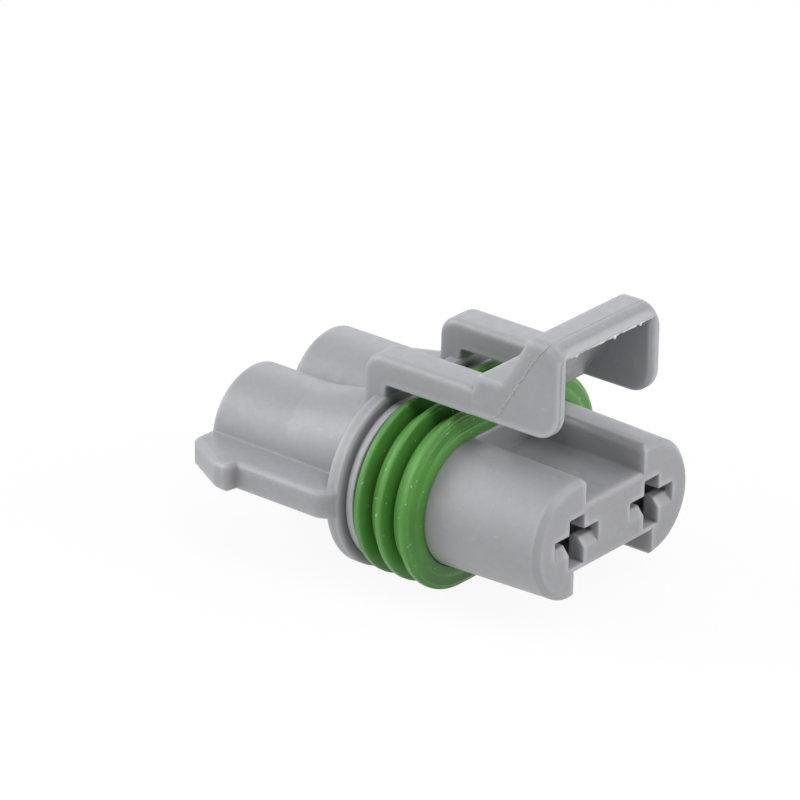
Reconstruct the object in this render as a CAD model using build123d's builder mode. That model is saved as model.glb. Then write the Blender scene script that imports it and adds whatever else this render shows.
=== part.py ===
from build123d import *
import os
from math import atan, degrees

os.makedirs("parts", exist_ok=True)

# Two way sealed wire connector, socket half, with its lock arm and its seal.
# Millimetres. Origin: the middle of the nose's front face, on the terminals'
# centre plane. +X is the mating direction, +Z is the side of the lock arm.

# Terminal passages and the slots that the blades enter
cavityPitch = 8.0
bladeSlotWidth = 4.6
bladeSlotTop = 0.71
bladeSlotFloor = -0.09
leadInDrop = 0.62
leadInDepth = 0.5
pickSlotWidth = 1.56
pickSlotHeight = 3.5
pickSlotDepth = 5.5
frontWall = 1.2
passageWidth = 4.7
passageHeight = 2.9

# Nose: a drafted stadium with a channel above and a wider one below the web
bodyRise = 0.12
noseLength = 9.0
noseFrontRadius = 4.14
seatRadius = 4.4
noseEdgeBevel = 0.35
topChannelInset = 0.9
topChannelFloor = 2.45
bottomChannelOutset = 0.2
bottomChannelFloor = -2.2
lobeTopRound = 0.5
lobeFootBevel = 0.25
webEdgeRound = 0.3

# Seal seat, shoulder and collar
seatLength = 5.1
shoulderRadius = 5.65
shoulderWidth = 0.8
collarRadius = 6.2
collarWidth = 1.1
collarEdgeBevel = 0.13
reliefWidth = 0.25
reliefDepth = 0.3

# Wire barrels
barrelRise = 0.35
barrelRadius = 4.22
barrelLength = 11.65
barrelEdgeBevel = 0.22
barrelSink = 0.12
riseLength = 6.5
riseHeight = 1.15
riseRadius = 4.3
sealBoreRadius = 3.3
sealBoreDepth = 9.0
boreMouthBevel = 0.35

# Side rails with a hook near the rear end
railStandOut = 7.0
railThickness = 1.93
railCentre = 0.1
railOverhang = 0.1
railRootDepth = 0.42
hookReach = 0.85
hookTipSetback = 4.65
hookStepLength = 0.15
hookRampStart = 5.8
hookRampKnee = 7.72
hookRampKneeSetback = 3.45
railBlendLength = 1.5
hookRearRound = 0.5
hookTipRound = 0.4
railEdgeBevel = 0.22

# Lock arm
armOuterReach = 5.2
armInnerReach = 2.65
armBottom = 7.1
armTop = 9.0
armEdgeBevel = 0.25
hingeRadius = 1.3
hingeGap = 0.08
postThickness = 1.75
postFoot = 4.6
postTipDrop = 0.15
postSetback = 0.2
windowCornerRound = 0.35
padRearX = -7.75
padTop = 9.9
barTop = 13.7
barFrontX = -0.7
barRearFootX = -5.8
barRearHeadX = -3.55
barCrownX = -2.0
barLipDrop = 0.72
crownWall = 0.85
hollowRearFootX = -6.35
hollowRearKneeX = -5.0
hollowRearHeadX = -2.8
skirtWall = 0.75
skirtCornerRadius = 1.9
skirtFootBevel = 0.3
barSideRound = 0.6
crownRearRound = 0.7
padEdgeRound = 0.25

# Ribbed seal
ribRadius = 6.19
ribPitch = 1.85
ribCount = 3
ribBaseWidth = 1.2
ribShoulderWidth = 0.76
ribCrestWidth = 0.34
ribShoulderDrop = 0.22
firstRibSetback = 0.6
valleyRadius = 5.3
sealRearGap = 0.05
sealSeatGap = 0.02
sealFrontSetback = 0.28
sealFrontRadius = 5.75
sealLipStep = 0.22
sealLipRadius = 5.2

# Stations along X that follow from the sizes above
slotCutDepth = 2 * frontWall
noseRootX = -noseLength
shoulderFrontX = noseRootX - seatLength
collarFrontX = shoulderFrontX - shoulderWidth
collarRearX = collarFrontX - collarWidth
barrelRearX = collarRearX - barrelLength
boreFloorX = barrelRearX + sealBoreDepth
noseDraft = degrees(atan((seatRadius - noseFrontRadius) / noseLength))
postFrontX = collarFrontX - postSetback
postRearX = postFrontX - postThickness
hingeX = postRearX + hingeRadius
hingeZ = armTop - hingeRadius
railRearX = barrelRearX - railOverhang
railTipX = railRearX + hookTipSetback
sealRearX = shoulderFrontX + sealRearGap
sealFrontX = noseRootX - sealFrontSetback
hollowTopZ = barTop - crownWall
barLipZ = barTop - barLipDrop
barrelY = cavityPitch / 2
railReach = barrelY + railStandOut
railRootReach = barrelY + barrelRadius - railRootDepth
topChannelWidth = cavityPitch - 2 * topChannelInset
bottomChannelWidth = cavityPitch + 2 * bottomChannelOutset
lobeFootZ = bodyRise - noseFrontRadius + lobeFootBevel
sides = (-1, 1)
pickTolerance = 0.01


# Nose: a stadium drafted towards the front, then the two channels
with BuildPart() as nose:
    with BuildSketch(Plane.YZ.offset(noseRootX)):
        with Locations((0, bodyRise)):
            SlotCenterToCenter(cavityPitch, 2 * seatRadius)
    extrude(amount=noseLength, taper=noseDraft)
    chamfer(nose.faces().sort_by(Axis.X)[-1].edges(), noseEdgeBevel)
    with BuildSketch(Plane.YZ.offset(noseRootX)):
        with Locations((0, topChannelFloor)):
            Rectangle(topChannelWidth, 2 * seatRadius, align=(Align.CENTER, Align.MIN))
        # the lower channel widens at its mouth, which bevels the feet of the lobes
        with BuildLine():
            halfChannel = bottomChannelWidth / 2
            mouth = Polyline(
                (0, bottomChannelFloor),
                (halfChannel, bottomChannelFloor),
                (halfChannel, lobeFootZ),
                (halfChannel + seatRadius, lobeFootZ - seatRadius),
                (0, lobeFootZ - seatRadius),
            )
            mirror(mouth, about=Plane.YZ)
        make_face()
    extrude(amount=2 * noseLength, mode=Mode.SUBTRACT)
    lobeTops = nose.edges().filter_by(
        lambda edge: edge.bounding_box().size.X > noseLength / 2
        and abs(abs(edge.center().Y) - topChannelWidth / 2) < pickTolerance
        and edge.center().Z > topChannelFloor + lobeTopRound
    )
    fillet(lobeTops, lobeTopRound)
    webRims = nose.edges().filter_by(Axis.Y).filter_by(
        lambda edge: edge.center().X > -noseEdgeBevel and edge.length > topChannelWidth / 2
    )
    fillet(webRims, webEdgeRound)

# Side rail with its hook, drawn from above
with BuildPart() as rail:
    with BuildSketch(Plane.XY.offset(railCentre - railThickness / 2)) as railPlan:
        with BuildLine():
            blend = TangentArc(
                (collarFrontX - railBlendLength, railReach),
                (collarFrontX - collarEdgeBevel, barrelY + collarRadius - collarEdgeBevel),
                tangent=(1, 0),
            )
            Polyline(
                blend @ 1,
                (collarFrontX - collarEdgeBevel, railRootReach),
                (railRearX, railRootReach),
                (railRearX, barrelY + hookRampStart),
                (railRearX + hookRampKneeSetback, barrelY + hookRampKnee),
                (railTipX, railReach + hookReach),
                (railTipX + hookStepLength, railReach),
                blend @ 0,
            )
        make_face()
        rearCorner = railPlan.vertices().sort_by_distance((railRearX, barrelY + hookRampStart))[0]
        fillet(rearCorner, hookRearRound)
        hookTip = railPlan.vertices().sort_by(Axis.Y)[-1]
        fillet(hookTip, hookTipRound)
    extrude(amount=railThickness)
    for cap in (0, -1):
        railRim = rail.faces().filter_by(Axis.Z).sort_by(Axis.Z)[cap].edges().filter_by(
            lambda edge: edge.center().Y > barrelY + hookRampStart - hookRearRound
        )
        chamfer(railRim, railEdgeBevel)

# Posts that carry the lock arm, cupped on top around the arm's bend
with BuildPart() as post:
    with BuildSketch(Plane.XZ.offset(-armOuterReach)):
        with Locations((postRearX, postFoot)):
            Rectangle(
                postThickness, armBottom - postTipDrop - postFoot, align=(Align.MIN, Align.MIN)
            )
        with Locations((hingeX, hingeZ)):
            Circle(hingeRadius + hingeGap, mode=Mode.SUBTRACT)
    extrude(amount=armOuterReach - armInnerReach)
    chamfer(post.edges().filter_by(Axis.Z), armEdgeBevel)

# Housing: everything that is moulded in one piece with the nose
with BuildPart() as housing:
    # collar with softened rims
    with BuildSketch(Plane.YZ.offset(collarRearX)):
        with Locations((0, bodyRise)):
            SlotCenterToCenter(cavityPitch, 2 * collarRadius)
    extrude(amount=collarWidth)
    chamfer(housing.edges(), collarEdgeBevel)
    # shoulder that the seal rests against, with a relief groove beside the collar
    with BuildSketch(Plane.YZ.offset(collarFrontX + reliefWidth)):
        with Locations((0, bodyRise)):
            SlotCenterToCenter(cavityPitch, 2 * shoulderRadius)
    extrude(amount=shoulderWidth - reliefWidth)
    with BuildSketch(Plane.YZ.offset(collarFrontX)):
        with Locations((0, bodyRise)):
            SlotCenterToCenter(cavityPitch, 2 * (shoulderRadius - reliefDepth))
    extrude(amount=reliefWidth)
    # seat that the seal is stretched over
    with BuildSketch(Plane.YZ.offset(collarRearX)):
        with Locations((0, bodyRise)):
            SlotCenterToCenter(cavityPitch, 2 * seatRadius)
    extrude(amount=noseRootX - collarRearX)
    add(nose.part)
    # wire barrels, each with a slanted cone that lifts its back towards the collar
    for side in sides:
        barrelAxis = Axis((0, side * barrelY, barrelRise), (1, 0, 0))
        with BuildSketch(Plane(barrelAxis.position, x_dir=(1, 0, 0), z_dir=(0, -1, 0))):
            with BuildLine():
                Polyline(
                    (collarRearX + collarWidth / 2, 0),
                    (barrelRearX, 0),
                    (barrelRearX, barrelRadius - barrelEdgeBevel),
                    (barrelRearX + barrelEdgeBevel, barrelRadius),
                    (collarRearX + collarWidth / 2, barrelRadius),
                    close=True,
                )
            make_face()
        revolve(axis=barrelAxis)
        with BuildSketch(Plane.YZ.offset(collarRearX - riseLength)):
            with Locations((side * barrelY, barrelRise)):
                Circle(barrelRadius - barrelSink)
        with BuildSketch(Plane.YZ.offset(collarRearX + collarWidth / 2)):
            with Locations((side * barrelY, barrelRise + riseHeight)):
                Circle(riseRadius)
        loft(ruled=True)
    add(rail.part)
    add(mirror(rail.part, about=Plane.XZ, mode=Mode.PRIVATE))
    add(post.part)
    add(mirror(post.part, about=Plane.XZ, mode=Mode.PRIVATE))
    for side in sides:
        cavityY = side * barrelY
        # wire seal bore with its bevelled mouth
        with BuildSketch(Plane.YZ.offset(barrelRearX)):
            with Locations((cavityY, barrelRise)):
                Circle(sealBoreRadius)
        extrude(amount=sealBoreDepth, mode=Mode.SUBTRACT)
        boreMouth = housing.edges().filter_by(GeomType.CIRCLE).filter_by(
            lambda edge: abs(edge.center().X - barrelRearX) < pickTolerance
            and abs(edge.radius - sealBoreRadius) < pickTolerance
            and edge.center().Y * side > 0
        )
        chamfer(boreMouth, boreMouthBevel)
        # terminal passage up to the front wall
        with BuildSketch(Plane.YZ.offset(boreFloorX)):
            with Locations((cavityY, 0)):
                Rectangle(passageWidth, passageHeight)
        extrude(amount=-boreFloorX - frontWall, mode=Mode.SUBTRACT)
        # blade slot through the front wall, with a ramp that leads the blade in
        with BuildSketch(Plane.XZ.offset(-cavityY - bladeSlotWidth / 2)):
            with BuildLine():
                Polyline(
                    (-slotCutDepth, bladeSlotFloor),
                    (-leadInDepth, bladeSlotFloor),
                    (0, bladeSlotFloor - leadInDrop),
                    (frontWall, bladeSlotFloor - leadInDrop),
                    (frontWall, bladeSlotTop),
                    (-slotCutDepth, bladeSlotTop),
                    close=True,
                )
            make_face()
        extrude(amount=bladeSlotWidth, mode=Mode.SUBTRACT)
        # upright slot for the tool that frees a terminal
        with BuildSketch(Plane.YZ.offset(-pickSlotDepth)):
            with Locations((cavityY, 0)):
                Rectangle(pickSlotWidth, pickSlotHeight)
        extrude(amount=pickSlotDepth + frontWall, mode=Mode.SUBTRACT)

# Hood of the crossbar: the leaning rear face and the crown, rounded at the sides
with BuildPart() as hood:
    with BuildSketch(Plane.XZ) as hoodSide:
        with BuildLine():
            crown = TangentArc((barCrownX, barTop), (barFrontX, barLipZ), tangent=(1, 0))
            Polyline(
                crown @ 1,
                (barFrontX, padTop),
                (barRearFootX, padTop),
                (barRearHeadX, barTop),
                crown @ 0,
            )
        make_face()
        crownRear = hoodSide.vertices().sort_by_distance((barRearHeadX, barTop))[0]
        fillet(crownRear, crownRearRound)
    extrude(amount=armOuterReach, both=True)
    hoodSides = hood.edges().filter_by(
        lambda edge: abs(abs(edge.center().Y) - armOuterReach) < pickTolerance
        and edge.center().Z > padTop + pickTolerance
        and edge.center().X < barFrontX - pickTolerance
    )
    fillet(hoodSides, barSideRound)

# Lock arm: two flat arms, the pad and skirts that they end in, and the hood
with BuildPart() as lockArm:
    with BuildSketch(Plane.XZ.offset(-armOuterReach)) as armSide:
        with Locations((hingeX, hingeZ)):
            Circle(hingeRadius)
        with Locations((postFrontX, hingeZ)):
            Rectangle(
                hingeRadius, 2 * hingeRadius, align=(Align.MIN, Align.CENTER), mode=Mode.SUBTRACT
            )
        with Locations((hingeX, armBottom)):
            Rectangle(hollowRearFootX - hingeX, armTop - armBottom, align=(Align.MIN, Align.MIN))
        windowCorner = armSide.vertices().sort_by_distance((postFrontX, armBottom))[0]
        fillet(windowCorner, windowCornerRound)
    extrude(amount=armOuterReach - armInnerReach)
    armRims = lockArm.edges().filter_by(Axis.X).filter_by(lambda edge: edge.center().Z > hingeZ)
    chamfer(armRims, armEdgeBevel)
    mirror(about=Plane.XZ)
    with BuildSketch(Plane.XZ) as skirtSide:
        with BuildLine():
            Polyline(
                (barFrontX, padTop),
                (barFrontX, armBottom),
                (padRearX, armBottom),
                (padRearX, padTop),
                close=True,
            )
        make_face()
        fillet(skirtSide.vertices().sort_by_distance((barFrontX, armBottom))[0], skirtCornerRadius)
        fillet(skirtSide.vertices().sort_by_distance((padRearX, padTop))[0], padEdgeRound)
    extrude(amount=armOuterReach, both=True)
    add(hood.part)
    # hollow that opens to the front and below
    with BuildSketch(Plane.XZ):
        with BuildLine():
            Polyline(
                (hollowRearFootX, armBottom),
                (hollowRearKneeX, armTop),
                (hollowRearHeadX, hollowTopZ),
                (0, hollowTopZ),
                (0, armBottom),
                close=True,
            )
        make_face()
    extrude(amount=armOuterReach - skirtWall, both=True, mode=Mode.SUBTRACT)
    skirtFeet = lockArm.edges().filter_by(Axis.X).filter_by(
        lambda edge: abs(edge.center().Z - armBottom) < pickTolerance
        and abs(abs(edge.center().Y) - armOuterReach + skirtWall) < pickTolerance
    )
    chamfer(skirtFeet, skirtFootBevel)

# Ribbed seal: one section, turned around both ends and drawn along both flats
with BuildPart() as seal:
    for side in sides:
        turnAxis = Axis((0, side * barrelY, bodyRise), (-1, 0, 0))
        with BuildSketch(
            Plane(turnAxis.position, x_dir=(1, 0, 0), z_dir=(0, -side, 0))
        ) as section:
            with BuildLine():
                outline = [(sealRearX, seatRadius + sealSeatGap), (sealRearX, valleyRadius)]
                for rib in range(ribCount):
                    crestX = shoulderFrontX + firstRibSetback + rib * ribPitch
                    outline += [
                        (crestX - ribBaseWidth / 2, valleyRadius),
                        (crestX - ribShoulderWidth / 2, ribRadius - ribShoulderDrop),
                        (crestX - ribCrestWidth / 2, ribRadius),
                        (crestX + ribCrestWidth / 2, ribRadius),
                        (crestX + ribShoulderWidth / 2, ribRadius - ribShoulderDrop),
                        (crestX + ribBaseWidth / 2, valleyRadius),
                    ]
                outline[-1] = (sealFrontX, sealFrontRadius)
                Polyline(
                    *outline,
                    (sealFrontX, sealLipRadius),
                    (sealFrontX + sealLipStep, sealLipRadius),
                    (sealFrontX + sealLipStep, seatRadius + sealSeatGap),
                    close=True,
                )
            make_face()
        extrude(amount=cavityPitch)
        revolve(section.sketch, axis=turnAxis, revolution_arc=180)

for piece, name in ((housing, "housing"), (lockArm, "lock_arm"), (seal, "perimeter_seal")):
    piece.part.label = name
    export_step(piece.part, "parts/" + name + ".step")
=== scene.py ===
import bpy
import math
import numpy as np
from mathutils import Matrix, Vector


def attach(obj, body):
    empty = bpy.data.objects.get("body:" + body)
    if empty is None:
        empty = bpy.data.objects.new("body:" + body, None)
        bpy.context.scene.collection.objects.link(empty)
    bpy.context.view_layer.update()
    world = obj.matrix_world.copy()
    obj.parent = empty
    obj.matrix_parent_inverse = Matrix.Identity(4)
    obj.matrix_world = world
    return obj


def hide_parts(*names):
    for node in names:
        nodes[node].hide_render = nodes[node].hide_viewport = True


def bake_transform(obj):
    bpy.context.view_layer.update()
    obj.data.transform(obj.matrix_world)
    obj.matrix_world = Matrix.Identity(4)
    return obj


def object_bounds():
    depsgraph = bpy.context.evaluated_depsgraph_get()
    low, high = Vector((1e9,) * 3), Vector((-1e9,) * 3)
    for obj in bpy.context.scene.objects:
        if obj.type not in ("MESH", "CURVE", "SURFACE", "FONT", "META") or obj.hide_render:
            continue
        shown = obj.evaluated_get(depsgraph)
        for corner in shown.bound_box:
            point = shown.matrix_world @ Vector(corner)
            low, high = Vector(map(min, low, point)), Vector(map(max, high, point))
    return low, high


# Sealed wire connector socket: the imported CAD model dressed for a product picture.
# The scene is in metres, in the part's own frame: +X out of the nose, +Z to the lock arm.
# The pieces' dictionaries and the camera's are in mm.

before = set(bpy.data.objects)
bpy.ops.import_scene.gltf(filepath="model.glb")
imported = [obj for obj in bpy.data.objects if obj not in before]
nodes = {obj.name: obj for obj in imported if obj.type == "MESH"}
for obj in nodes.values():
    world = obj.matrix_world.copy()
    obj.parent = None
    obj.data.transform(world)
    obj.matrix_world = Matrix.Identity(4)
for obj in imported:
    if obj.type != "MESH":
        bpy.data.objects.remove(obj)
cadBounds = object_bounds()
scene = bpy.context.scene
scene.view_settings.view_transform = "Standard"
mm = 0.001
print("frame loaded")


# Camera, placed by angles around the nose's front face

view = {
    "azimuth": 38.95,
    "elevation": 24.26,
    "roll": 0.87,
    "distance": 355.1,
    "aimRight": -13.92,
    "aimUp": 7.939,
    "lens": 245.66,
}


def makeCamera(v):
    az, el, roll = (math.radians(v[k]) for k in ("azimuth", "elevation", "roll"))
    level = Vector((math.cos(az), math.sin(az), 0))
    back = Vector((math.sin(az) * math.cos(el), -math.cos(az) * math.cos(el), math.sin(el)))
    lift = back.cross(level)
    right = math.cos(roll) * level + math.sin(roll) * lift
    up = -math.sin(roll) * level + math.cos(roll) * lift
    place = (right * v["aimRight"] + up * v["aimUp"] + back * v["distance"]) * mm
    data = bpy.data.cameras.new("camera")
    data.sensor_width = 36
    data.lens = v["lens"]
    camera = bpy.data.objects.new("camera", data)
    scene.collection.objects.link(camera)
    turn = Matrix((right, up, back)).transposed()
    camera.matrix_world = Matrix.Translation(place) @ turn.to_4x4()
    scene.camera = camera


makeCamera(view)


# Small helpers for node materials

def newMaterial(name):
    material = bpy.data.materials.new(name)
    material.use_nodes = True
    tree = material.node_tree
    tree.nodes.clear()
    return material, tree


def addNode(tree, kind, links=None, **values):
    node = tree.nodes.new(kind)
    for key, value in values.items():
        if hasattr(node, key):
            setattr(node, key, value)
        else:
            node.inputs[key.replace("_", " ")].default_value = value
    for socket, source in (links or {}).items():
        tree.links.new(source, node.inputs[socket])
    return node


# Stage: a white table and world that are seen as white, with the object's faint shadow kept

# gap is between the part and the table, and seenWhite is the share of plain white in what
# the camera sees of the table, the rest being lit and shadowed as usual
table = {
    "halfSize": 1.5,
    "gap": 0.02 * mm,
    "colour": (0.9, 0.9, 0.9, 1),
    "seenWhite": 0.93,
    "fill": 0.03,
}


def whiteRays(tree):
    # 1 for camera, glossy and transmission rays, which see plain white
    path = addNode(tree, "ShaderNodeLightPath")
    seen = path.outputs["Is Camera Ray"]
    for ray in ("Is Glossy Ray", "Is Transmission Ray"):
        seen = addNode(tree, "ShaderNodeMath", {0: seen, 1: path.outputs[ray]},
                       operation="MAXIMUM").outputs[0]
    return seen


def makeStage(v):
    low = cadBounds[0][2] - v["gap"]
    mesh = bpy.data.meshes.new("floor")
    size = v["halfSize"]
    mesh.from_pydata(
        [(-size, -size, low), (size, -size, low), (size, size, low), (-size, size, low)],
        [],
        [(0, 1, 2, 3)],
    )
    floor = bpy.data.objects.new("floor", mesh)
    scene.collection.objects.link(floor)
    material, tree = newMaterial("table_white")
    diffuse = addNode(tree, "ShaderNodeBsdfDiffuse", Color=v["colour"])
    glow = addNode(tree, "ShaderNodeEmission", Color=(1, 1, 1, 1), Strength=1.0)
    share = addNode(tree, "ShaderNodeMath", {0: whiteRays(tree)}, operation="MULTIPLY")
    share.inputs[1].default_value = v["seenWhite"]
    mix = addNode(
        tree, "ShaderNodeMixShader",
        {0: share.outputs[0], 1: diffuse.outputs[0], 2: glow.outputs[0]},
    )
    addNode(tree, "ShaderNodeOutputMaterial", {"Surface": mix.outputs[0]})
    mesh.materials.append(material)

    world = bpy.data.worlds.new("studio")
    world.use_nodes = True
    scene.world = world
    tree = world.node_tree
    tree.nodes.clear()
    fill = addNode(tree, "ShaderNodeBackground", Color=(1, 1, 1, 1), Strength=v["fill"])
    white = addNode(tree, "ShaderNodeBackground", Color=(1, 1, 1, 1), Strength=1.0)
    mix = addNode(
        tree, "ShaderNodeMixShader",
        {0: whiteRays(tree), 1: fill.outputs[0], 2: white.outputs[0]},
    )
    addNode(tree, "ShaderNodeOutputWorld", {"Surface": mix.outputs[0]})


def addLamp(name, place, size, power, colour):
    data = bpy.data.lights.new(name, "AREA")
    data.shape = "RECTANGLE"
    data.size, data.size_y = size
    data.energy = power
    data.color = colour
    lamp = bpy.data.objects.new(name, data)
    scene.collection.objects.link(lamp)
    lamp.location = place
    lamp.rotation_mode = "QUATERNION"
    lamp.rotation_quaternion = (lampTarget - Vector(place)).to_track_quat("-Z", "Y")


# each lamp's place, size, power in watts and colour; all face the middle of the part
lampTarget = Vector((-0.013, 0, 0))
lamps = {
    "top_softbox": ((-0.05, 0.05, 0.6), (0.5, 0.5), 1.27, (0.94, 0.98, 1)),
    "left_softbox": ((-0.45, -0.25, 0.3), (0.35, 0.35), 2.1, (0.97, 0.99, 1)),
    "side_softbox": ((-0.12, -0.5, 0.12), (0.5, 0.3), 0.82, (1, 0.97, 0.94)),
    "front_softbox": ((0.3, -0.08, 0.5), (0.3, 0.3), 1.0, (1, 0.97, 1)),
    "right_softbox": ((0.45, 0.25, 0.25), (0.4, 0.4), 1.85, (1, 0.99, 0.98)),
    "back_softbox": ((-0.3, 0.45, 0.3), (0.4, 0.4), 0.56, (0.92, 0.95, 1)),
}
makeStage(table)
for name, (place, size, power, colour) in lamps.items():
    addLamp(name, place, size, power, colour)
print("stage and lamps made")


# Materials

def noise(tree, vector, scale, detail, roughness=0.55):
    return addNode(tree, "ShaderNodeTexNoise", {"Vector": vector},
                   Scale=scale, Detail=detail, Roughness=roughness).outputs["Fac"]


def spread(tree, value, found, to):
    # the range found is carried to the range to, clamped outside
    return addNode(tree, "ShaderNodeMapRange", {"Value": value}, From_Min=found[0],
                   From_Max=found[1], To_Min=to[0], To_Max=to[1]).outputs[0]


def math2(tree, operation, first, second):
    return addNode(tree, "ShaderNodeMath", {0: first, 1: second}, operation=operation).outputs[0]


def stretched(tree, where, scale, turn):
    return addNode(tree, "ShaderNodeMapping", {"Vector": where}, Scale=scale,
                   Rotation=turn).outputs[0]


def scaledColour(tree, colour, tint):
    base = addNode(tree, "ShaderNodeVectorMath", {"Scale": tint}, operation="SCALE")
    base.inputs[0].default_value = colour
    return base.outputs[0]


# most of a noise lies between these two values
noiseBand = (0.3, 0.7)

# scales are noise cells per metre, found is the part of a noise that becomes a mark,
# and a tint multiplies the colour
plastic = {
    "colour": (0.305, 0.3075, 0.323),
    # the paler colour of the flash ridges is a painted highlight on these thin marks
    "flashHighlightColour": (0.49, 0.49, 0.5),
    "edgeRadius": 0.0003,
    # the next three set the painted highlight that makes outer edges paler
    "edgeHighlightReach": 0.0006,
    "edgeHighlightFound": (0.58, 0.96),
    "edgeHighlightTint": 1.4,
    "flowScale": 220.0,
    "flowTint": (0.972, 1.028),
    "mottleScale": 2100.0,
    "mottleTint": (0.975, 1.025),
    "scuffScale": (700, 3600, 3600),
    "scuffTurn": (0.3, 0.5, 0.9),
    "scuffFound": (0.66, 0.74),
    "scuffTint": 1.1,
    "speckScale": 3400.0,
    "speckFound": (0.765, 0.8),
    "speckTint": 1.22,
    "grainScale": 8500.0,
    "grainStrength": 0.14,
    "grainDepth": 0.00003,
    "glossScale": 1300.0,
    "roughness": (0.36, 0.5),
    "specular": 0.5,
}


def plasticMaterial(name, colour, v):
    # moulded plastic: flow marks, mottling, scuffs and specks in colour, a fine grain in relief,
    # and outer edges that are rounded in shading and made paler as a painted highlight, found by
    # looking inwards
    material, tree = newMaterial(name)
    where = addNode(tree, "ShaderNodeTexCoord").outputs["Object"]
    flow = spread(tree, noise(tree, where, v["flowScale"], 3.0), noiseBand, v["flowTint"])
    mottle = spread(tree, noise(tree, where, v["mottleScale"], 3.0), noiseBand, v["mottleTint"])
    scuffs = noise(tree, stretched(tree, where, v["scuffScale"], v["scuffTurn"]), 1.0, 2.0)
    scuff = spread(tree, scuffs, v["scuffFound"], (1.0, v["scuffTint"]))
    specks = noise(tree, where, v["speckScale"], 1.0)
    speck = spread(tree, specks, v["speckFound"], (1.0, v["speckTint"]))
    soften = addNode(tree, "ShaderNodeBevel", samples=8, Radius=v["edgeRadius"]).outputs[0]
    # painted highlight: an occlusion test looking inwards finds the outer edges, and the colour is
    # made paler there
    inside = addNode(tree, "ShaderNodeAmbientOcclusion", samples=8, inside=True, only_local=True,
                     Distance=v["edgeHighlightReach"]).outputs["AO"]
    tint = spread(tree, inside, v["edgeHighlightFound"], (v["edgeHighlightTint"], 1.0))
    for mark in (flow, mottle, scuff, speck):
        tint = math2(tree, "MULTIPLY", tint, mark)
    base = scaledColour(tree, colour, tint)
    grain = noise(tree, where, v["grainScale"], 2.0, 0.6)
    bump = addNode(tree, "ShaderNodeBump", {"Height": grain, "Normal": soften},
                   Strength=v["grainStrength"], Distance=v["grainDepth"]).outputs[0]
    rough = spread(tree, noise(tree, where, v["glossScale"], 3.0), noiseBand, v["roughness"])
    shader = addNode(tree, "ShaderNodeBsdfPrincipled",
                     {"Base Color": base, "Roughness": rough, "Normal": bump})
    shader.inputs["Specular IOR Level"].default_value = v["specular"]
    addNode(tree, "ShaderNodeOutputMaterial", {"Surface": shader.outputs[0]})
    return material


silicone = {
    "colour": (0.084, 0.262, 0.047),
    "cloudScale": 380.0,
    "cloudTint": (0.93, 1.07),
    "runScale": (5200, 260, 260),
    "runTint": (0.94, 1.06),
    # the next three set the painted shade that darkens the grooves between the ribs
    "grooveShadeReach": 0.0009,
    "grooveShadeFound": (0.25, 0.7),
    "grooveShadeTint": 0.62,
    "dust": (0.5, 0.58, 0.46),
    "dustFound": (0.735, 0.775),
    "speckScale": 2900.0,
    "speckCover": 0.8,
    "fibreScale": (6500, 900, 2600),
    "fibreTurn": (0.7, 0.2, 0.4),
    "fibreCover": 0.6,
    "waxScale": 4600.0,
    "waxStrength": 0.2,
    "waxDepth": 0.00004,
    "glossScale": 900.0,
    "roughness": (0.3, 0.42),
    "specular": 0.3,
}


def siliconeMaterial(name, v):
    # waxy silicone: cloudy colour, faint runs around the ring, painted shade in the grooves,
    # and specks and fibres of pale dust that also stand out in relief
    material, tree = newMaterial(name)
    where = addNode(tree, "ShaderNodeTexCoord").outputs["Object"]
    cloud = spread(tree, noise(tree, where, v["cloudScale"], 3.0), noiseBand, v["cloudTint"])
    runs = noise(tree, stretched(tree, where, v["runScale"], (0, 0, 0)), 1.0, 3.0)
    run = spread(tree, runs, noiseBand, v["runTint"])
    # painted shade: the colour is darkened where an occlusion test finds the grooves
    openness = addNode(tree, "ShaderNodeAmbientOcclusion", samples=8, only_local=True,
                       Distance=v["grooveShadeReach"]).outputs["AO"]
    grooveShade = spread(tree, openness, v["grooveShadeFound"], (v["grooveShadeTint"], 1.0))
    tint = math2(tree, "MULTIPLY", math2(tree, "MULTIPLY", cloud, run), grooveShade)
    specks = noise(tree, where, v["speckScale"], 1.0)
    speck = spread(tree, specks, v["dustFound"], (0.0, v["speckCover"]))
    fibres = noise(tree, stretched(tree, where, v["fibreScale"], v["fibreTurn"]), 1.0, 1.0)
    fibre = spread(tree, fibres, v["dustFound"], (0.0, v["fibreCover"]))
    dusty = math2(tree, "MAXIMUM", speck, fibre)
    mixed = addNode(tree, "ShaderNodeMix", data_type="RGBA")
    tree.links.new(dusty, mixed.inputs["Factor"])
    tree.links.new(scaledColour(tree, v["colour"], tint), mixed.inputs[6])
    mixed.inputs[7].default_value = (*v["dust"], 1)
    height = math2(tree, "ADD", noise(tree, where, v["waxScale"], 3.0, 0.6), dusty)
    bump = addNode(tree, "ShaderNodeBump", {"Height": height},
                   Strength=v["waxStrength"], Distance=v["waxDepth"]).outputs[0]
    rough = spread(tree, noise(tree, where, v["glossScale"], 3.0), noiseBand, v["roughness"])
    shader = addNode(tree, "ShaderNodeBsdfPrincipled",
                     {"Base Color": mixed.outputs[2], "Roughness": rough, "Normal": bump})
    shader.inputs["Specular IOR Level"].default_value = v["specular"]
    addNode(tree, "ShaderNodeOutputMaterial", {"Surface": shader.outputs[0]})
    return material


greyPlastic = plasticMaterial("grey_plastic", plastic["colour"], plastic)
flashHighlightPlastic = plasticMaterial("flash_highlight_plastic", plastic["flashHighlightColour"], plastic)
greenSilicone = siliconeMaterial("green_silicone", silicone)
for name in ("housing", "lock_arm"):
    nodes[name].data.materials.clear()
    nodes[name].data.materials.append(greyPlastic)
print("materials made")


# Surfaces worked out on grids

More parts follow.
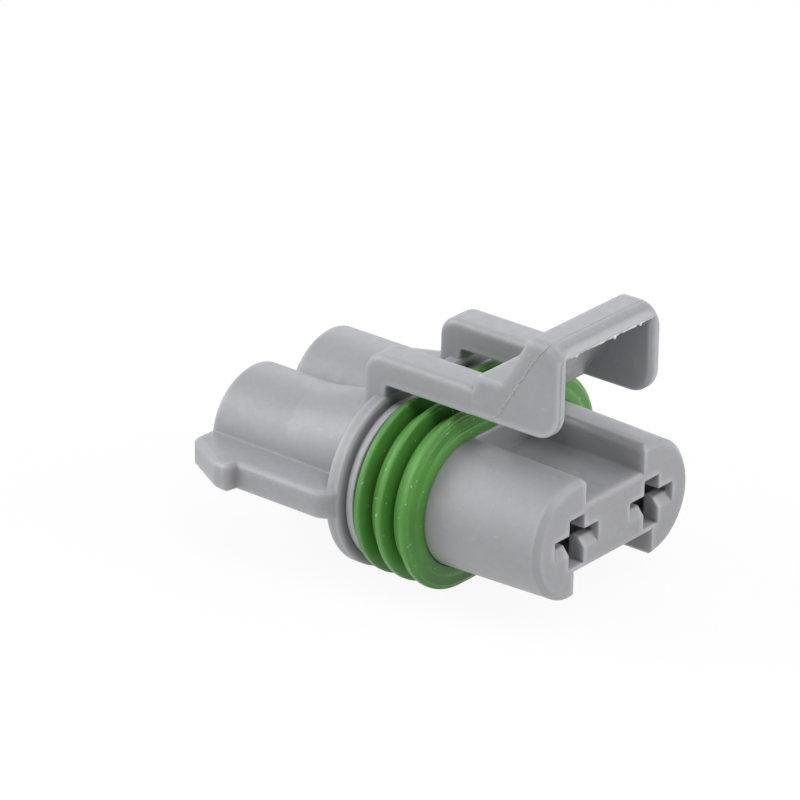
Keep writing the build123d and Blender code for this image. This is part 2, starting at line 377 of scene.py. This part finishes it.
def gridPiece(name, points, body, material, capped=True):
    # points is a (stations, around, 3) grid in mm. Quads join each station to the next and close
    # around. Flat caps close both ends, or else the last station joins the first.
    # The faces are turned so that the volume, the sum of a x b . c / 6, is positive.
    stations, around = points.shape[:2]
    rows = np.arange(stations - 1 if capped else stations)[:, None]
    cols = np.arange(around)[None, :]
    nextRow = (rows + 1) % stations
    nextCol = (cols + 1) % around
    quads = np.stack(np.broadcast_arrays(
        rows * around + cols, nextRow * around + cols,
        nextRow * around + nextCol, rows * around + nextCol), axis=-1).reshape(-1, 4)
    flat = points.reshape(-1, 3) * mm
    a, b, c, d = (flat[quads[:, k]] for k in range(4))
    volume = (np.cross(a, b) * c).sum() + (np.cross(a, c) * d).sum()
    if volume < 0:
        quads = quads[:, ::-1]
    faces = quads.tolist()
    if capped:
        first = np.arange(around)
        last = first + (stations - 1) * around
        faces += [(first if volume > 0 else first[::-1]).tolist()]
        faces += [(last[::-1] if volume > 0 else last).tolist()]
    mesh = bpy.data.meshes.new(name)
    mesh.from_pydata(flat.tolist(), [], faces)
    mesh.polygons.foreach_set("use_smooth", np.full(len(faces), True))
    if capped:
        for cap in (-1, -2):
            mesh.polygons[cap].use_smooth = False
    mesh.update()
    mesh.materials.append(material)
    piece = bpy.data.objects.new(name, mesh)
    scene.collection.objects.link(piece)
    if body:
        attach(piece, body)
    return piece


def ramp(value, low, high):
    # 0 below low, 1 above high, and the smooth 3t^2 - 2t^3 between them
    t = np.clip((value - low) / (high - low), 0, 1)
    return t * t * (3 - 2 * t)


def ripple(place, seed, waves, longest):
    # sum of sines along place, of pitch longest / k and height k^-0.6, each with a random phase,
    # scaled so that it mostly stays between -1 and 1
    rng = np.random.default_rng(seed)
    k = np.arange(1, waves + 1)
    phase = rng.uniform(0, 2 * np.pi, waves)
    pitch = longest / k
    share = k ** -0.6
    fullSwing = 1.8
    total = (share * np.sin(2 * np.pi * place[:, None] / pitch + phase)).sum(axis=1)
    return total / share.sum() * fullSwing


# Ribbed seal, in place of the plain one

# the three ribs run from rear to front; slopeRise is a share of the way from valley to crest
seal = {
    "rearX": -14.05,
    "frontX": -9.3,
    "cornerReach": 0.064,
    "cornerDrop": 0.16,
    "faceRadius": 5.32,
    "lipOuterRadius": 5.19,
    "lipRound": 0.5,
    "lipX": -9.05,
    "seatRadius": 4.42,
    "seatRound": (0.1, 0.12),
    "seatStart": 0.5,
    "valley": 4.95,
    "crest": 6.185,
    "ribX": (-13.37, -11.6, -9.66),
    "rearHalf": (0.36, 0.34, 0.32),
    "frontHalf": (0.36, 0.4, 0.4),
    "footX": (-13.65, -12.66, -10.86),
    "footBehind": 0.08,
    "footAhead": 0.04,
    "slopeRise": (0.42, 0.62),
    "sharpness": 8.0,
    "endY": 4.0,
    "centreZ": 0.12,
    "wobble": 0.012,
    "firmDepth": 0.3,
}


def sealProfile(v):
    # the outer line over x: the valley plus, for each rib, height / (1 + |distance / half width|^p)
    # and a gentle slope up to it from its foot behind, all smoothed a little; then the front
    # face with a raised ring beside the nose, by quarter ellipses, and back along the seat
    x = np.linspace(v["rearX"], v["frontX"], 150)
    lift = np.zeros_like(x)
    for centre, rear, front, foot in zip(v["ribX"], v["rearHalf"], v["frontHalf"], v["footX"]):
        half = np.where(x < centre, rear, front)
        rib = 1 / (1 + np.abs((x - centre) / half) ** v["sharpness"])
        slope = np.interp(x, [foot, centre - rear], v["slopeRise"])
        slope *= ramp(x, foot - v["footBehind"], foot + v["footAhead"]) * (x < centre)
        lift = np.maximum(lift, np.maximum(rib, slope))
    soften = np.hanning(9)[1:-1]
    padded = np.pad(lift, len(soften) // 2, mode="edge")
    lift = np.convolve(padded, soften / soften.sum(), "valid")
    radius = v["valley"] + (v["crest"] - v["valley"]) * lift
    outer = np.stack([x, radius], axis=1)
    turn = np.linspace(0, np.pi / 2, 9)[1:]
    ahead, down = np.sin(turn), 1 - np.cos(turn)
    endX, endRadius = outer[-1]
    faceX = endX + v["cornerReach"]
    corner = np.stack([endX + v["cornerReach"] * ahead, endRadius - v["cornerDrop"] * down], axis=1)
    face = np.array([[faceX, v["faceRadius"]], [faceX, v["lipOuterRadius"]]])
    rise = np.stack([
        faceX + (v["lipX"] - faceX) * ahead,
        v["lipOuterRadius"] - v["lipRound"] * down], axis=1)
    roundX, roundRadius = v["seatRound"]
    lip = np.array([[v["lipX"], v["seatRadius"] + roundRadius]])
    inner = np.stack([
        v["lipX"] - roundX * down,
        v["seatRadius"] + roundRadius * (1 - ahead)], axis=1)
    seat = np.array([[v["rearX"] + v["seatStart"], v["seatRadius"]], [v["rearX"], v["seatRadius"]]])
    return np.concatenate([outer, corner, face, rise, lip, inner, seat])


def makeSeal(v, material):
    # the profile carried around a stadium: a point (x, r) goes to
    # (x, y0 + r cos t, z0 + r sin t), where y0 slides from one end to the other on the flats;
    # x and the soft outer radii sway a little along the way around
    profile = sealProfile(v)
    bend = np.linspace(-np.pi / 2, np.pi / 2, 100)
    slide = np.linspace(1, -1, 14)[1:-1]
    still, level = np.ones(len(bend)), np.ones(len(slide))
    angle = np.concatenate([bend, level * np.pi / 2, bend + np.pi, level * 1.5 * np.pi])
    centre = v["endY"] * np.concatenate([still, slide, -still, -slide])
    walk = np.arange(len(angle)) / len(angle)
    sway = v["wobble"] * ripple(walk, seed=5, waves=9, longest=1.0)
    x = profile[None, :, 0] + 0.6 * sway[:, None]
    soft = ramp(profile[:, 1], v["seatRadius"] + v["firmDepth"], v["crest"])
    radius = profile[None, :, 1] + sway[:, None] * soft[None, :] - v["wobble"] * soft[None, :]
    y = centre[:, None] + radius * np.cos(angle)[:, None]
    z = v["centreZ"] + radius * np.sin(angle)[:, None]
    grid = np.stack(np.broadcast_arrays(x, y, z), axis=-1)
    piece = gridPiece("ribbed_seal", grid, "housing", material, capped=False)
    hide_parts("perimeter_seal")


# Moulded skin over each arm and its post: one soft-edged bar without the joint's gap

# proud is how far the skin stands off the CAD arm on top and at the sides
arm = {
    "outerY": 5.2,
    "innerY": 2.65,
    "rearX": -16.85,
    "frontX": -15.1,
    "top": 9.0,
    "bottom": 7.1,
    "bend": 1.3,
    "corner": 0.35,
    "footZ": 4.75,
    "endX": -7.45,
    "proud": 0.05,
    "underProud": 0.018,
    "rearProud": 0.1,
    "footFlare": 0.17,
    "outerRound": 0.5,
    "postRound": 0.34,
    "rimRound": 0.07,
    "endSink": 0.065,
}


def armPath(v):
    # outer line: up the post's back, a quarter turn about the bend's centre, forward on top;
    # inner line: up the post's front, the window's corner, forward along the bottom;
    # along runs from -1 at the foot to 0 at the bend and 1 at the front end
    up = np.linspace(0, 1, 22)[:-1]
    turn = np.linspace(0, 1, 25)
    out = np.linspace(0, 1, 60)[1:]
    bendX, bendZ = v["rearX"] + v["bend"], v["top"] - v["bend"]
    wide = v["bend"] + v["proud"]
    riseZ = v["footZ"] + up * (bendZ - v["footZ"])
    flare = v["rearProud"] + v["footFlare"] * (1 - up) ** 2
    angle = np.pi - turn * np.pi / 2
    reach = wide + (v["rearProud"] - v["proud"]) * (1 - ramp(turn, 0, 0.8))
    outer = np.concatenate([
        np.stack([v["rearX"] - flare, riseZ], axis=1),
        np.stack([bendX + reach * np.cos(angle), bendZ + reach * np.sin(angle)], axis=1),
        np.stack([bendX + out * (v["endX"] - bendX),
                  np.full(len(out), v["top"] + v["proud"])], axis=1)])
    small = v["corner"] - v["underProud"]
    cornerX, cornerZ = v["frontX"] + v["corner"], v["bottom"] - v["corner"]
    inner = np.concatenate([
        np.stack([np.full(len(up), v["frontX"] + v["underProud"]),
                  v["footZ"] + up * (cornerZ - v["footZ"])], axis=1),
        np.stack([cornerX + small * np.cos(angle), cornerZ + small * np.sin(angle)], axis=1),
        np.stack([cornerX + out * (v["endX"] - cornerX),
                  np.full(len(out), v["bottom"] - v["underProud"])], axis=1)])
    along = np.concatenate([up - 1, turn * 0, out])
    return outer, inner, along


def makeArmSkin(v, side, material):
    # rounded rectangle between the outer and the inner line at each station: each corner's
    # points are its centre plus radius times (cos a, sin a), with its own radius per station;
    # the front end sinks into the CAD arm, and the lower corners are rounder on the post
    outer, inner, along = armPath(v)
    thick = np.linalg.norm(inner - outer, axis=1)
    unit = (inner - outer) / thick[:, None]
    sink = v["endSink"] * ramp(along, 0.9, 0.99)
    lowY = v["innerY"] - v["proud"] + sink
    highY = v["outerY"] + v["proud"] - sink
    topRound = np.full(len(along), v["outerRound"])
    onPost = 1 - ramp(along, -0.28, -0.13)
    lowRound = v["rimRound"] + (v["postRound"] - v["rimRound"]) * onPost
    corner = np.arange(4)[:, None] * np.pi / 2
    swing = -(corner + np.linspace(0, np.pi / 2, 9)[None, :])
    radius = np.stack([topRound, topRound, lowRound, lowRound])
    centreN = np.stack([sink + topRound, sink + topRound,
                        thick - sink - lowRound, thick - sink - lowRound])
    centreY = np.stack([highY - topRound, lowY + topRound, lowY + lowRound, highY - lowRound])
    deep = centreN[:, None, :] + radius[:, None, :] * np.sin(swing)[:, :, None]
    wide = centreY[:, None, :] + radius[:, None, :] * np.cos(swing)[:, :, None]
    deep, wide = (part.reshape(swing.size, -1).T for part in (deep, wide))
    x = outer[:, 0, None] + unit[:, 0, None] * deep
    z = outer[:, 1, None] + unit[:, 1, None] * deep
    grid = np.stack([x, side * wide, z], axis=-1)
    name = "arm_skin_left" if side > 0 else "arm_skin_right"
    piece = gridPiece(name, grid, None, material)
    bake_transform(piece)


# Thin moulding marks on the crossbar: the parting line and the flash along the lip, in a paler
# plastic that paints their highlight

def makeRidge(name, path, normal, halfWidth, height, material):
    # an ellipse carried along the path: path + width cos t * side + height sin t * normal
    tangent = np.gradient(path, axis=0)
    across = np.cross(tangent, normal)
    across /= np.linalg.norm(across, axis=1)[:, None]
    t = np.linspace(0, 2 * np.pi, 13)[:-1]
    grid = (path[:, None, :]
            + (halfWidth[:, None] * np.cos(t)[None, :])[..., None] * across[:, None, :]
            + (height[:, None] * np.sin(t)[None, :])[..., None] * normal[:, None, :])
    gridPiece(name, grid, "lock_arm", material)


# side is the line's (x, z) up the near side of the crossbar
partingLine = {
    "side": ((-6.75, 7.17), (-6.3, 7.26), (-5.79, 7.59), (-5.17, 8.59), (-4.05, 10.42),
             (-3.6, 11.12), (-3.22, 11.73), (-2.83, 12.4), (-2.42, 12.95), (-2.1, 13.25)),
    "sideY": 5.2,
    "round": 0.6,
    "topX": -1.85,
    "topZ": 13.68,
    "halfWidth": 0.05,
    "height": 0.02,
    "uneven": 0.25,
}


def makePartingLine(v, material):
    # up the near side, over the rounded crown and down the far side, its mirror image
    side = np.array(v["side"])
    step = np.concatenate([[0], np.cumsum(np.linalg.norm(np.diff(side, axis=0), axis=1))])
    walk = np.linspace(0, step[-1], 60)
    sideX, sideZ = (np.interp(walk, step, side[:, k]) for k in range(2))
    blur = np.hanning(9) / np.hanning(9).sum()
    sideX[4:-4], sideZ[4:-4] = (np.convolve(c, blur, "valid") for c in (sideX, sideZ))
    a = np.linspace(0, np.pi / 2, 12)[1:]
    r = v["round"]
    overX = sideX[-1] + (v["topX"] - sideX[-1]) * np.sin(a)
    overY, overZ = v["sideY"] - r + r * np.cos(a), v["topZ"] - r + r * np.sin(a)
    topY = np.linspace(v["sideY"] - r, 0, 30)[1:]
    upright, level = np.ones(len(walk)), np.ones(len(topY))
    x = np.concatenate([sideX, overX, level * v["topX"]])
    y = -np.concatenate([upright * v["sideY"], overY, topY])
    z = np.concatenate([sideZ, overZ, level * v["topZ"]])
    lean = np.concatenate([0 * upright, a, level * np.pi / 2])
    normal = np.stack([0 * lean, -np.cos(lean), np.sin(lean)], axis=1)
    path = np.stack([x, y, z], axis=1)
    mirror = np.array([1, -1, 1])
    path = np.concatenate([path, path[-2::-1] * mirror])
    normal = np.concatenate([normal, normal[-2::-1] * mirror])
    along = np.arange(len(path)) / len(path)
    swell = 1 + v["uneven"] * ripple(along, seed=2, waves=20, longest=1.0)
    makeRidge("parting_line", path, normal, v["halfWidth"] * swell, v["height"] * swell, material)


# each tag is (y, half width)
lipFlash = {
    "x": -0.74,
    "z": 12.87,
    "reach": 4.5,
    "halfWidth": 0.065,
    "height": 0.06,
    "tags": ((-3.6, 0.2), (-3.0, 0.1), (0.35, 0.125), (3.1, 0.1)),
    "tagHeight": 0.12,
    "ragged": 0.7,
}


def makeLipFlash(v, material):
    # a bead along the lip's lower edge, whose thickness follows a ripple and swells at a few
    # ragged tags, each a bump exp(-(d / half)^4) over the distance d from its middle
    y = np.linspace(-v["reach"], v["reach"], 220)
    rough = ripple(y, seed=11, waves=26, longest=9.0)
    swell = np.clip(1 + v["ragged"] * rough, 0.35, 2.2)
    tag = sum(np.exp(-((y - middle) / half) ** 4) for middle, half in v["tags"])
    height = v["height"] * swell + v["tagHeight"] * tag * np.clip(0.8 + 0.5 * rough, 0.2, 1.4)
    path = np.stack([v["x"] + 0.01 * rough, y, v["z"] - 0.02 * rough], axis=1)
    normal = np.tile([0.6, 0.0, -0.8], (len(y), 1))
    makeRidge("lip_flash", path, normal, v["halfWidth"] * swell, height, material)


makeSeal(seal, greenSilicone)
for side in (-1, 1):
    makeArmSkin(arm, side, greyPlastic)
makePartingLine(partingLine, flashHighlightPlastic)
makeLipFlash(lipFlash, flashHighlightPlastic)
print("seal, arm skins and moulding marks made")
